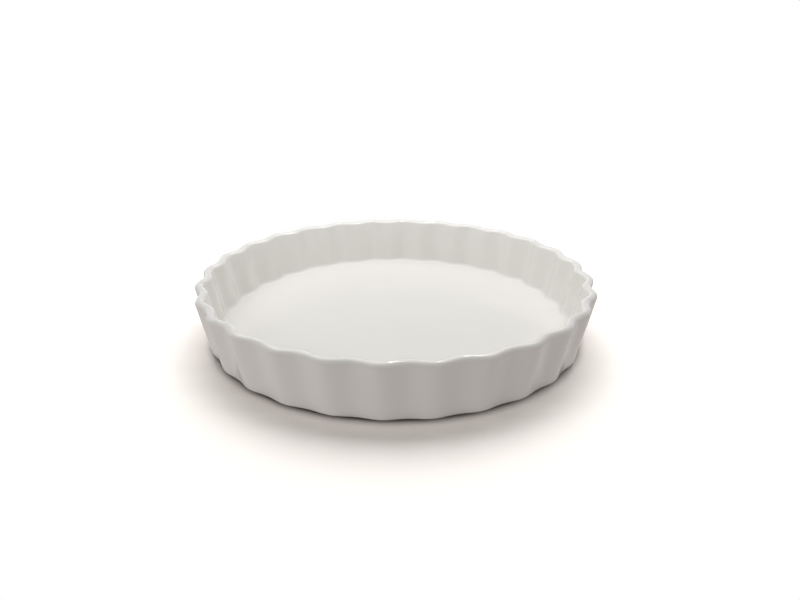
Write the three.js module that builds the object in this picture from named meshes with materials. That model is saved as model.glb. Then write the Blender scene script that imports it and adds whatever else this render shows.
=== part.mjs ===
// Fluted round baking dish: a fired stoneware body, the glass glaze over its
// inside, lip and outside, and the glaze disc inside the bare foot ring.
// Millimetres, +Z up, origin at the middle of the base on the table.
import * as THREE from 'three';

// Overall size
const RIM_DIAMETER = 280;      // over the flute crests at the lip
const HEIGHT = 41;             // table to the top of the lip

// Flutes, in step on the inside and the outside of the wall. The depths are
// from crest to valley, and the wall is thicker in the valleys.
const FLUTE_COUNT = 28;
const INSIDE_DEPTH_RIM = 3.8;
const INSIDE_DEPTH_FLOOR = 2.8;
const OUTSIDE_DEPTH_RIM = 3.2;
const OUTSIDE_DEPTH_BASE = 2;
const CREST_SOFTNESS = 1.6;    // 0 makes sharp crests between hollows, 3 an even wave

// Wall section
const WALL_LEAN_DEG = 11.7;    // outward lean from the vertical
const LIP_RADIUS = 3;          // rounded lip, and half the wall's thickness at a crest
const HEEL_RADIUS = 2.2;       // outside, wall to underside
const COVE_RADIUS = 3.5;       // inside, wall to floor
const FLOOR_TOP = 5.6;         // cooking floor above the table

// Foot ring and glaze
const GLAZE = 0.4;             // thickness of both glaze coats
const HEEL_GAP = 1.1;          // glazed underside above the table
const FOOT_INSET = 4;          // heel centre to the glaze line
const FOOT_BEVEL = 1;          // slope of both sides of the foot ring
const FOOT_WIDTH = 6;          // bare ring that touches the table
const FOOT_RECESS = 1.5;       // clay underside inside the ring, above the table
const DISC_CLEARANCE = 0.4;    // glaze disc to the foot ring's top edge

// Fineness of the solids
const STEPS_PER_FLUTE = 6;
const ROUND_STEPS = 2;         // quarter turn of the lip or the heel
const COVE_STEPS = 3;

const SEGMENTS = FLUTE_COUNT * STEPS_PER_FLUTE;
const LEAN = THREE.MathUtils.degToRad(WALL_LEAN_DEG);
const QUARTER = Math.PI / 2;

// Flute depth at a height, on the inside and on the outside. It goes over from
// one to the other around the lip, and falls to a half under the heel.
const { lerp } = THREE.MathUtils;
const INSIDE_HEIGHT = HEIGHT - FLOOR_TOP;
const insideDepth = (z) => lerp(INSIDE_DEPTH_FLOOR, INSIDE_DEPTH_RIM, (z - FLOOR_TOP) / INSIDE_HEIGHT);
const outsideDepth = (z) => lerp(OUTSIDE_DEPTH_BASE, OUTSIDE_DEPTH_RIM, z / HEIGHT);
const lipDepth = (z, nr) => lerp(insideDepth(z), outsideDepth(z), (1 + nr) / 2);
const heelDepth = (z, nr) => outsideDepth(z) * (1 + nr) / 2;

// A station is one point of the section: radius at a flute crest, height, the
// direction out of the material, and the flute depth there.
const station = (r, z, nr, nz, depth) => ({ r, z, nr, nz, depth });

// Stations on a round of the section. The sign is +1 where the material is
// inside the round and -1 where it is outside. An angle of zero faces out
// from the axis, and a quarter turn faces up.
const round = (centre, radius, angles, sign, depthAt) => angles.map((angle) => {
  const nr = Math.cos(angle);
  const nz = Math.sin(angle);
  const z = centre.z + sign * radius * nz;
  return station(centre.r + sign * radius * nr, z, nr, nz, depthAt(z, nr));
});

const sweep = (from, to, steps) => {
  const angles = [];
  for (let i = 0; i <= steps; i += 1) {
    angles.push(lerp(from, to, i / steps));
  }
  return angles;
};

// The two faces of the wall are tangent to the lip, the outside also to the
// heel and the inside to the cove.
const lip = { r: RIM_DIAMETER / 2 - LIP_RADIUS, z: HEIGHT - LIP_RADIUS };
const heelZ = HEEL_GAP + HEEL_RADIUS;
const heel = {
  r: lip.r + (LIP_RADIUS - HEEL_RADIUS + (heelZ - lip.z) * Math.sin(LEAN)) / Math.cos(LEAN),
  z: heelZ,
};
const coveZ = FLOOR_TOP + COVE_RADIUS;
const cove = {
  r: lip.r - (LIP_RADIUS + COVE_RADIUS - (coveZ - lip.z) * Math.sin(LEAN)) / Math.cos(LEAN),
  z: coveZ,
};
const glazeLine = heel.r - FOOT_INSET;
const footOuter = glazeLine - FOOT_BEVEL;
const footInner = footOuter - FOOT_WIDTH;
const recessRadius = footInner - FOOT_BEVEL;

// The finished surface, from the edge of the floor over the lip to the foot.
// The lip has a station at its very top and one at its widest.
const lipAngles = [
  ...sweep(Math.PI - LEAN, QUARTER, ROUND_STEPS),
  ...sweep(QUARTER, 0, ROUND_STEPS).slice(1),
  -LEAN,
];
const surface = [
  ...round(cove, COVE_RADIUS, sweep(QUARTER, Math.PI - LEAN, COVE_STEPS), -1, insideDepth),
  ...round(lip, LIP_RADIUS, lipAngles, 1, lipDepth),
  ...round(heel, HEEL_RADIUS, sweep(-LEAN, -QUARTER, ROUND_STEPS), 1, heelDepth),
  station(glazeLine, HEEL_GAP, 0, -1, 0),
];

const sunk = ({ r, z, nr, nz, depth }) => station(r - GLAZE * nr, z - GLAZE * nz, nr, nz, depth);
const clay = surface.map(sunk);

// A plain ring without flutes, used under the base.
const plain = (r, z) => station(r, z, 0, -1, 0);

// Wave around the wall, a little tighter on the crests than in the valleys: 0 on
// a crest, 1 in a valley.
const dip = (angle) => {
  const swing = Math.sin((FLUTE_COUNT * angle) / 2);
  const softened = (value) => Math.hypot(value, CREST_SOFTNESS) - CREST_SOFTNESS;
  return softened(swing) / softened(1);
};

// A closed solid through rings of stations, from one point on the axis to
// another.
const solid = (topZ, rings, bottomZ) => {
  const positions = [0, 0, topZ];
  rings.forEach(({ r, z, depth }) => {
    for (let j = 0; j < SEGMENTS; j += 1) {
      const angle = (j / SEGMENTS) * Math.PI * 2;
      const radius = r - depth * dip(angle);
      positions.push(radius * Math.cos(angle), radius * Math.sin(angle), z);
    }
  });
  positions.push(0, 0, bottomZ);
  const last = 1 + rings.length * SEGMENTS;
  const at = (ring, j) => 1 + ring * SEGMENTS + (j % SEGMENTS);
  const point = (index) => new THREE.Vector3().fromArray(positions, 3 * index);
  const apart = (from, to) => point(from).distanceToSquared(point(to));
  const faces = [];
  for (let j = 0; j < SEGMENTS; j += 1) {
    faces.push(0, at(0, j), at(0, j + 1));
    for (let i = 0; i + 1 < rings.length; i += 1) {
      const [a, b, c, d] = [at(i, j), at(i, j + 1), at(i + 1, j), at(i + 1, j + 1)];
      // Each patch is split along its shorter diagonal, so two coats that
      // meet are split alike.
      if (apart(a, d) < apart(b, c)) {
        faces.push(a, c, d, a, d, b);
      } else {
        faces.push(a, c, b, b, c, d);
      }
    }
    faces.push(last, at(rings.length - 1, j + 1), at(rings.length - 1, j));
  }
  const geometry = new THREE.BufferGeometry();
  geometry.setAttribute('position', new THREE.Float32BufferAttribute(positions, 3));
  geometry.setIndex(faces);
  geometry.computeVertexNormals();
  return geometry;
};

const dish = new THREE.Group();
dish.name = 'fluted_baking_dish';

const add = (name, geometry, color, roughness) => {
  const material = new THREE.MeshStandardMaterial({ color, roughness, metalness: 0 });
  const mesh = new THREE.Mesh(geometry, material);
  mesh.name = name;
  dish.add(mesh);
};

// Clay body with its bare foot ring
const foot = [plain(footOuter, 0), plain(footInner, 0), plain(recessRadius, FOOT_RECESS)];
add('stoneware_body', solid(FLOOR_TOP - GLAZE, [...clay, ...foot], FOOT_RECESS), 0xd8d0c2, 0.8);

// One continuous coat over floor, inner wall, lip, outer wall and heel
const coat = [...surface, ...clay.toReversed()];
add('glaze_coat', solid(FLOOR_TOP, coat, FLOOR_TOP - GLAZE), 0xeeece6, 0.12);

// Glaze on the recessed underside, inside the foot ring
const discRadius = recessRadius - DISC_CLEARANCE;
const disc = [plain(discRadius, FOOT_RECESS), plain(discRadius, FOOT_RECESS - GLAZE)];
add('underside_glaze', solid(FOOT_RECESS, disc, FOOT_RECESS - GLAZE), 0xeeece6, 0.15);

export default dish;
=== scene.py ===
import bpy
import math
from mathutils import Matrix, Vector


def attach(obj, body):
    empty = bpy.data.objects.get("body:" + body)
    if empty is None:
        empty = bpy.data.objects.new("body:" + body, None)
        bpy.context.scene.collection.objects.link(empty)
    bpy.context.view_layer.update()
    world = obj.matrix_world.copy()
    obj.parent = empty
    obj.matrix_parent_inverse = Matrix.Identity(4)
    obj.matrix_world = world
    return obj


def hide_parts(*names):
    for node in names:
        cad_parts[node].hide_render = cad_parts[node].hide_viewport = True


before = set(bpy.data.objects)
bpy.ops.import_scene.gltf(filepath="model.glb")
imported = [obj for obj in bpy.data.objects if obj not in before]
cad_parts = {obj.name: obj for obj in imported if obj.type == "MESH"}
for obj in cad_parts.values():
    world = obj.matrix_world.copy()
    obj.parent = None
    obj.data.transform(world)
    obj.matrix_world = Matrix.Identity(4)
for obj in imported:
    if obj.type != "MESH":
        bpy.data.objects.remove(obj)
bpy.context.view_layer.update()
print("frame loaded:", sorted(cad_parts))

mm = 0.001
quarter = math.pi / 2


class Wire:  # a node socket that can be used in sums
    def __init__(self, tree, socket=None):
        self.tree = tree
        self.socket = socket

    def node(self, kind, settings, sockets, out=0):  # settings first, then values or links
        made = self.tree.nodes.new(kind)
        for key, value in settings.items():
            setattr(made, key, value)
        for key, value in sockets.items():
            if isinstance(value, Wire):
                self.tree.links.new(value.socket, made.inputs[key])
            else:
                made.inputs[key].default_value = value
        return Wire(self.tree, made.outputs[out] if len(made.outputs) else None)

    def math(self, operation, *values):
        return self.node("ShaderNodeMath", {"operation": operation}, dict(enumerate(values)))

    def __add__(self, other):
        return self.math("ADD", self, other)

    def __sub__(self, other):
        return self.math("SUBTRACT", self, other)

    def __rsub__(self, other):
        return self.math("SUBTRACT", other, self)

    def __mul__(self, other):
        return self.math("MULTIPLY", self, other)

    def __truediv__(self, other):
        return self.math("DIVIDE", self, other)

    __radd__ = __add__
    __rmul__ = __mul__


# the dish's section in millimetres, radii at the flute crests
dishSizes = {
    "rimDiameter": 280,
    "height": 41,
    "insideDepthRim": 3.8,  # flutes, crest to valley
    "insideDepthFloor": 2.8,
    "outsideDepthRim": 3.2,
    "outsideDepthBase": 2,
    "wallLean": 11.7,  # degrees
    "lipRadius": 3,  # also half the wall's thickness
    "heelRadius": 2.2,
    "coveRadius": 3.5,
    "floorTop": 5.6,
    "heelGap": 1.1,
    "glaze": 0.4,
    "footInset": 4,
    "footBevel": 1,
    "footWidth": 6,
    "footRecess": 1.5,
    "discClearance": 0.4,
    "footRound": 0.35,  # edges of the foot, softened by the sponge
}

lean = math.radians(dishSizes["wallLean"])


def station(r, z, nr=0.0, nz=-1.0, depth=0.0):  # one point of the section and its way out
    return {"r": r, "z": z, "nr": nr, "nz": nz, "depth": depth}


def insideDepth(z, nr):
    low, high = dishSizes["insideDepthFloor"], dishSizes["insideDepthRim"]
    return low + (high - low) * (z - dishSizes["floorTop"]) / (dishSizes["height"] - dishSizes["floorTop"])


def outsideDepth(z, nr):
    low, high = dishSizes["outsideDepthBase"], dishSizes["outsideDepthRim"]
    return low + (high - low) * z / dishSizes["height"]


def lipDepth(z, nr):
    return insideDepth(z, nr) + (outsideDepth(z, nr) - insideDepth(z, nr)) * (1 + nr) / 2


def heelDepth(z, nr):  # half as deep under the heel
    return outsideDepth(z, nr) * (1 + nr) / 2


def rounded(centre, radius, start, end, steps, sign, depthAt):
    turn = []
    for i in range(steps + 1):
        a = start + (end - start) * i / steps
        nr, nz = math.cos(a), math.sin(a)
        z = centre[1] + sign * radius * nz
        turn.append(station(centre[0] + sign * radius * nr, z, nr, nz, depthAt(z, nr)))
    return turn


def between(a, b, steps):  # rings on a straight stretch, ends left out
    return [{k: a[k] + (b[k] - a[k]) * i / steps for k in a} for i in range(1, steps)]


def floorOf(edge):  # flat rings from the middle out to the cove
    return [{**edge, "r": edge["r"] * f, "depth": edge["depth"] * f} for f in (0, 0.3, 0.6, 0.85)]


def dishSurface(sizes):  # floor's middle, cove, wall, lip, wall, heel, glaze line
    lip = (sizes["rimDiameter"] / 2 - sizes["lipRadius"], sizes["height"] - sizes["lipRadius"])
    heelZ = sizes["heelGap"] + sizes["heelRadius"]
    heelShift = sizes["lipRadius"] - sizes["heelRadius"] + (heelZ - lip[1]) * math.sin(lean)
    heel = (lip[0] + heelShift / math.cos(lean), heelZ)
    coveZ = sizes["floorTop"] + sizes["coveRadius"]
    coveShift = sizes["lipRadius"] + sizes["coveRadius"] - (coveZ - lip[1]) * math.sin(lean)
    cove = (lip[0] - coveShift / math.cos(lean), coveZ)
    coveTurn = rounded(cove, sizes["coveRadius"], quarter, math.pi - lean, 10, -1, insideDepth)
    lipTurn = rounded(lip, sizes["lipRadius"], math.pi - lean, -lean, 24, 1, lipDepth)
    heelTurn = rounded(heel, sizes["heelRadius"], -lean, -quarter, 8, 1, heelDepth)
    glazeLine = station(heel[0] - sizes["footInset"], sizes["heelGap"], depth=0)
    return [
        *floorOf(coveTurn[0]), *coveTurn, *between(coveTurn[-1], lipTurn[0], 6),
        *lipTurn, *between(lipTurn[-1], heelTurn[0], 6), *heelTurn, glazeLine,
    ]


def sunk(s, thickness):
    return {**s, "r": s["r"] - thickness * s["nr"], "z": s["z"] - thickness * s["nz"]}


# one tree sweeps any section round the axis and lays the flutes into it
sweepInputs = {
    "Flutes": ("NodeSocketInt", 28),
    "Crest Softness": ("NodeSocketFloat", 1.6),
    "Steps Around": ("NodeSocketInt", 28 * 16),
    "Finish": ("NodeSocketMaterial", None),
}


def fluteSweep():
    tree = bpy.data.node_groups.new("fluteSweep", "GeometryNodeTree")
    tree.interface.new_socket("Section", in_out="INPUT", socket_type="NodeSocketGeometry")
    for name, (kind, value) in sweepInputs.items():
        tree.interface.new_socket(name, in_out="INPUT", socket_type=kind)
    tree.interface.new_socket("Dish", in_out="OUTPUT", socket_type="NodeSocketGeometry")
    entry = tree.nodes.new("NodeGroupInput")
    given = {s.name: Wire(tree, s) for s in entry.outputs if s.name}
    w = Wire(tree)
    section = given["Section"]
    rows = w.node("GeometryNodeAttributeDomainSize", {"component": "MESH"}, {
        "Geometry": section,
    }, "Point Count")
    grid = w.node("GeometryNodeMeshGrid", {}, {
        "Size X": 1.0, "Size Y": 1.0,
        "Vertices X": given["Steps Around"] + 1, "Vertices Y": rows,
    })
    place = w.node("GeometryNodeInputPosition", {}, {})
    across = w.node("ShaderNodeSeparateXYZ", {}, {0: place}, "X")
    along = w.node("ShaderNodeSeparateXYZ", {}, {0: place}, "Y")
    ring = w.math("FLOOR", (along + 0.5) * (rows - 1) + 0.5)
    point = w.node("GeometryNodeSampleIndex", {"data_type": "FLOAT_VECTOR", "domain": "POINT"}, {
        "Geometry": section, "Value": place, "Index": ring,
    })
    crest = w.node("ShaderNodeSeparateXYZ", {}, {0: point}, "X")  # section points hold crest radius,
    depth = w.node("ShaderNodeSeparateXYZ", {}, {0: point}, "Y")  # flute depth
    height = w.node("ShaderNodeSeparateXYZ", {}, {0: point}, "Z")  # and height
    angle = (across + 0.5) * (2 * math.pi)
    soft = given["Crest Softness"]
    swing = w.math("SINE", angle * given["Flutes"] * 0.5)
    dip = (w.math("SQRT", swing * swing + soft * soft) - soft) / (w.math("SQRT", soft * soft + 1) - soft)
    radius = crest - depth * dip  # a little tighter on the crests
    spot = w.node("ShaderNodeCombineXYZ", {}, {
        "X": radius * w.math("COSINE", angle), "Y": radius * w.math("SINE", angle), "Z": height,
    })
    swept = w.node("GeometryNodeSetPosition", {}, {"Geometry": grid, "Position": spot})
    closed = w.node("GeometryNodeMergeByDistance", {}, {"Geometry": swept, "Distance": 1e-6})
    smooth = w.node("GeometryNodeSetShadeSmooth", {}, {"Geometry": closed})
    real = w.node("GeometryNodeRealizeInstances", {}, {"Geometry": smooth})
    done = w.node("GeometryNodeSetMaterial", {}, {"Geometry": real, "Material": given["Finish"]})
    w.node("NodeGroupOutput", {}, {"Dish": done})
    return tree


sweepTree = fluteSweep()
print("flute sweep tree:", len(sweepTree.nodes), "nodes")


def sweep(name, stations, finish):  # stations run so that the material is on their left
    line = bpy.data.meshes.new(name + "Section")
    points = [(s["r"] * mm, s["depth"] * mm, s["z"] * mm) for s in stations]
    line.from_pydata(points, [(i, i + 1) for i in range(len(points) - 1)], [])
    piece = bpy.data.objects.new(name, line)
    bpy.context.scene.collection.objects.link(piece)
    turn = piece.modifiers.new("sweep", "NODES")
    turn.node_group = sweepTree
    values = {key: value for key, (kind, value) in sweepInputs.items()}
    values["Finish"] = finish
    for item in sweepTree.interface.items_tree:
        if item.name in values:
            turn[item.identifier] = values[item.name]
    graph = bpy.context.evaluated_depsgraph_get()
    solid = bpy.data.meshes.new_from_object(piece.evaluated_get(graph), depsgraph=graph)
    piece.modifiers.clear()
    piece.data = solid
    solid.name = name
    print(name + ":", len(solid.polygons), "faces")
    return piece


def noise(w, spot, scale, detail):
    return w.node("ShaderNodeTexNoise", {}, {"Vector": spot, "Scale": scale, "Detail": detail})


# white glaze with a clear gloss
glazeLook = {
    "white": (0.80, 0.785, 0.75, 1),
    "cloud": (0.775, 0.76, 0.725, 1),
    "roughness": (0.03, 0.06),
    "ripple": 0.04,
    "cloudScale": 18.0,
    "rippleScale": 60.0,
}


def glazeFinish():
    mat = bpy.data.materials.new("whiteGlaze")
    mat.use_nodes = True
    mat.node_tree.nodes.clear()
    w = Wire(mat.node_tree)
    spot = w.node("ShaderNodeTexCoord", {}, {}, "Object")
    cloud = noise(w, spot, glazeLook["cloudScale"], 3.0)
    ripple = noise(w, spot, glazeLook["rippleScale"], 1.0)
    low, high = glazeLook["roughness"]
    colour = w.node("ShaderNodeMix", {"data_type": "RGBA"}, {
        0: cloud, 6: glazeLook["white"], 7: glazeLook["cloud"],
    }, 2)
    bump = w.node("ShaderNodeBump", {}, {
        "Strength": glazeLook["ripple"], "Distance": 0.002, "Height": ripple,
    })
    shade = w.node("ShaderNodeBsdfPrincipled", {}, {
        "Base Color": colour, "Roughness": low + (high - low) * cloud, "IOR": 1.52, "Normal": bump,
    })
    w.node("ShaderNodeOutputMaterial", {}, {"Surface": shade})
    return mat


# bare fired clay of the foot ring
clayLook = {
    "body": (0.62, 0.54, 0.43, 1),
    "speck": (0.40, 0.32, 0.24, 1),
    "roughness": 0.85,
    "grainScale": 900.0,
    "speckScale": 420.0,
}


def clayFinish():
    mat = bpy.data.materials.new("bareStoneware")
    mat.use_nodes = True
    mat.node_tree.nodes.clear()
    w = Wire(mat.node_tree)
    spot = w.node("ShaderNodeTexCoord", {}, {}, "Object")
    grain = noise(w, spot, clayLook["grainScale"], 4.0)
    speck = noise(w, spot, clayLook["speckScale"], 1.0)
    fleck = w.math("GREATER_THAN", speck, 0.68) * 0.6
    colour = w.node("ShaderNodeMix", {"data_type": "RGBA"}, {
        0: fleck + grain * 0.2, 6: clayLook["body"], 7: clayLook["speck"],
    }, 2)
    bump = w.node("ShaderNodeBump", {}, {"Strength": 0.25, "Distance": 0.0003, "Height": grain})
    shade = w.node("ShaderNodeBsdfPrincipled", {}, {
        "Base Color": colour, "Roughness": clayLook["roughness"], "Normal": bump,
    })
    w.node("ShaderNodeOutputMaterial", {}, {"Surface": shade})
    return mat


whiteGlaze = glazeFinish()
bareClay = clayFinish()
print("finishes made")

surface = dishSurface(dishSizes)
clay = [sunk(s, dishSizes["glaze"]) for s in surface]
glazeLine = surface[-1]["r"]
footOuter = glazeLine - dishSizes["footBevel"]
footInner = footOuter - dishSizes["footWidth"]
recessRadius = footInner - dishSizes["footBevel"]

# one coat of glass over floor, wall, lip, wall and heel
glazeCoat = sweep("glazeCoat", [*clay, *surface[::-1]], whiteGlaze)
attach(glazeCoat, "root")
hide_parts("glaze_coat")

# clay body on its bare foot ring
footRound = dishSizes["footRound"]
footTurns = [
    (0, dishSizes["footRecess"]),
    (recessRadius, dishSizes["footRecess"]),
    (footInner - footRound, footRound),
    (footInner + footRound, 0),
    (footOuter - footRound, 0),
    (footOuter + footRound, footRound),
]
foot = [station(r, z, depth=0) for r, z in footTurns]
clayBody = sweep("stonewareBody", [*foot, *clay[::-1]], bareClay)
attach(clayBody, "root")
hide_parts("stoneware_body")

# glaze inside the foot ring
discRadius = recessRadius - dishSizes["discClearance"]
discTop = dishSizes["footRecess"]
discLow = discTop - dishSizes["glaze"]
discTurns = [(0, discLow), (discRadius * 0.5, discLow), (discRadius - 0.3, discLow),
             (discRadius - 0.08, discLow + 0.1), (discRadius, discTop), (0, discTop)]
undersideGlaze = sweep("undersideGlaze", [station(r, z, depth=0) for r, z in discTurns], whiteGlaze)
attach(undersideGlaze, "root")
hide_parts("underside_glaze")

# white table and white surroundings
stageLook = {
    "table": (0.91, 0.875, 0.84, 1),
    "tableBounce": (0.645, 0.608, 0.586, 1),  # even light that the dish gets back from the table
    "paintedGlowTint": (1.0, 0.945, 0.885, 1),  # painted warm tint of the table's glow, which shows in its shadow
    "paintedTableGlow": 0.275,  # painted glow seen by the camera only, lifting the table and its shadow towards white
    "contact": (0.129, 0.138),  # no painted glow under the dish, where the paper keeps its real shade; painted glow past the second radius
    "clearing": (0.175, 0.235),  # shadows up to the first radius, plain white past the second
    "sky": (1.0, 0.95, 0.925, 1),
    "ambient": 0.06,
    "backBias": 0.1,  # a little brighter behind the dish
    "skyInGloss": (1.0, 0.5),  # near the horizon and higher up
    "glossBand": (0.2, 0.36),  # height over which it changes
}


def ray(w, kind):
    return w.node("ShaderNodeLightPath", {}, {}, kind)


def seenRays(w, gloss):  # 1 for the camera and through glass, less in gloss
    direct = w.math("MAXIMUM", ray(w, "Is Camera Ray"), ray(w, "Is Transmission Ray"))
    return w.math("MAXIMUM", direct, ray(w, "Is Glossy Ray") * gloss)


def tableTop():
    mesh = bpy.data.meshes.new("tableTop")
    side = 6.0
    corners = [(-side, -side, 0), (side, -side, 0), (side, side, 0), (-side, side, 0)]
    mesh.from_pydata(corners, [], [(0, 1, 2, 3)])
    table = bpy.data.objects.new("tableTop", mesh)
    bpy.context.scene.collection.objects.link(table)
    mat = bpy.data.materials.new("tablePaper")
    mat.use_nodes = True
    mat.node_tree.nodes.clear()
    w = Wire(mat.node_tree)
    paper = w.node("ShaderNodeBsdfDiffuse", {}, {"Color": stageLook["table"]})
    white = w.node("ShaderNodeEmission", {}, {"Strength": 1.0})
    spot = w.node("ShaderNodeTexCoord", {}, {}, "Object")
    reach = w.node("ShaderNodeVectorMath", {"operation": "LENGTH"}, {0: spot}, "Value")
    under, lit = stageLook["contact"]
    clear = w.node("ShaderNodeMapRange", {"interpolation_type": "SMOOTHSTEP"}, {
        "Value": reach, "From Min": under, "From Max": lit,
    })
    # painted light: the camera sees this glow on the paper past the contact radius, shadow included
    glow = w.node("ShaderNodeEmission", {}, {
        "Color": stageLook["paintedGlowTint"], "Strength": clear * stageLook["paintedTableGlow"],
    })
    near = w.node("ShaderNodeAddShader", {}, {0: paper, 1: glow})
    inner, outer = stageLook["clearing"]
    away = w.node("ShaderNodeMapRange", {"interpolation_type": "SMOOTHSTEP"}, {
        "Value": reach, "From Min": inner, "From Max": outer,
    })
    shown = w.node("ShaderNodeMixShader", {}, {0: away, 1: near, 2: white})
    bounce = w.node("ShaderNodeEmission", {}, {"Color": stageLook["tableBounce"], "Strength": 1.0})
    felt = w.node("ShaderNodeMixShader", {}, {0: clear, 1: paper, 2: bounce})
    both = w.node("ShaderNodeMixShader", {}, {0: ray(w, "Is Camera Ray"), 1: felt, 2: shown})
    w.node("ShaderNodeOutputMaterial", {}, {"Surface": both})
    mesh.materials.append(mat)
    return table


def surroundings():
    world = bpy.data.worlds.new("studio")
    bpy.context.scene.world = world
    world.use_nodes = True
    world.node_tree.nodes.clear()
    w = Wire(world.node_tree)
    way = w.node("ShaderNodeTexCoord", {}, {}, "Generated")
    rear = w.node("ShaderNodeSeparateXYZ", {}, {0: way}, "Y")
    up = w.node("ShaderNodeSeparateXYZ", {}, {0: way}, "Z")
    level = 1 + rear * stageLook["backBias"]
    light = w.node("ShaderNodeBackground", {}, {
        "Color": stageLook["sky"], "Strength": level * stageLook["ambient"],
    })
    backdrop = w.node("ShaderNodeBackground", {}, {"Color": (1, 1, 1, 1), "Strength": 1.0})
    low, high = stageLook["skyInGloss"]
    bottom, top = stageLook["glossBand"]
    gloss = w.node("ShaderNodeMapRange", {}, {
        "Value": up, "From Min": bottom, "From Max": top, "To Min": low, "To Max": high,
    })
    seen = seenRays(w, gloss)
    sky = w.node("ShaderNodeMixShader", {}, {0: seen, 1: light, 2: backdrop})
    w.node("ShaderNodeOutputWorld", {}, {"Surface": sky})


def softbox(name, place, aim, size, power, only, diffuse=True, glossy=True):
    lamp = bpy.data.lights.new(name, "AREA")
    lamp.shape = "RECTANGLE" if diffuse else "ELLIPSE"
    lamp.size, lamp.size_y = size
    lamp.energy = power
    box = bpy.data.objects.new(name, lamp)
    box.location = place
    box.rotation_mode = "QUATERNION"
    box.rotation_quaternion = (Vector(aim) - Vector(place)).to_track_quat("-Z", "Y")
    bpy.context.scene.collection.objects.link(box)
    group = bpy.data.collections.new(name + "Lit")  # what this lamp falls on
    for thing in only:
        group.objects.link(thing)
    box.light_linking.receiver_collection = group
    box.visible_diffuse = diffuse  # off, the box gives a highlight only
    box.visible_glossy = glossy  # off, the glaze shows no image of the box


table = tableTop()
dish = [glazeCoat, clayBody, undersideGlaze]
surroundings()
softbox("backBox", (0, 0.72, 1.2), (0, 0, 0), (1.5, 1.15), 30, [table])
softbox("topBox", (0, 0.06, 0.33), (0, 0.06, 0), (0.6, 0.48), 1.3, dish)
softbox("sparkBox", (0.12, 0.06, 0.55), (0.12, 0.06, 0), (0.12, 0.05), 0.6, dish, diffuse=False)
softbox("rearBox", (-0.03, 0.26, 0.36), (-0.03, 0.26, 0), (0.6, 0.4), 0.5, dish)
softbox("frontBox", (-0.611, -0.872, 0.746), (0, 0, 0), (0.5, 0.5), 3.7, dish, glossy=False)
softbox("leftBox", (-1.267, -0.111, 0.27), (0, 0, 0), (0.3, 0.3), 0.6, dish, glossy=False)
softbox("rightBox", (1.267, -0.111, 0.27), (0, 0, 0), (0.3, 0.3), 0.8, dish, glossy=False)
softbox("fillBox", (0.95, 0.12, 0.7), (0, 0, 0), (0.5, 0.5), 0.75, dish, glossy=False)
print("stage set")

# the photograph's viewpoint, seen from just above the rim
cameraView = {
    "azimuth": 3.7,  # degrees towards +X from the front
    "elevation": 20.37,  # of the line to the rim's middle
    "distance": 482.5,  # millimetres to the rim's middle
    "picture": (800, 600),
    "sensor": 36,  # millimetres across
    "focal": 671.46,  # pixels
    "rimMiddle": (395.9, 272.2),  # where the rim's middle falls
}


def photoCamera():
    a, e = math.radians(cameraView["azimuth"]), math.radians(cameraView["elevation"])
    back = Vector((math.sin(a) * math.cos(e), -math.cos(a) * math.cos(e), math.sin(e)))
    right = Vector((math.cos(a), math.sin(a), 0))
    up = back.cross(right)
    f = cameraView["focal"]
    x, y = cameraView["rimMiddle"]
    wide, high = cameraView["picture"]
    yaw, pitch = math.atan((wide / 2 - x) / f), math.atan((high / 2 - y) / f)
    face = Matrix((right, up, back)).transposed()
    face = face @ Matrix.Rotation(-yaw, 3, "Y") @ Matrix.Rotation(-pitch, 3, "X")
    lens = bpy.data.cameras.new("photoCamera")
    lens.sensor_width = cameraView["sensor"]
    lens.lens = f * cameraView["sensor"] / wide
    lens.clip_start, lens.clip_end = 0.01, 50
    eye = bpy.data.objects.new("photoCamera", lens)
    eye.matrix_world = Matrix.Translation(
        Vector((0, 0, dishSizes["height"] * mm)) + back * cameraView["distance"] * mm
    ) @ face.to_4x4()
    bpy.context.scene.collection.objects.link(eye)
    bpy.context.scene.camera = eye


photoCamera()
bpy.context.scene.view_settings.view_transform = "Standard"
print("camera set")
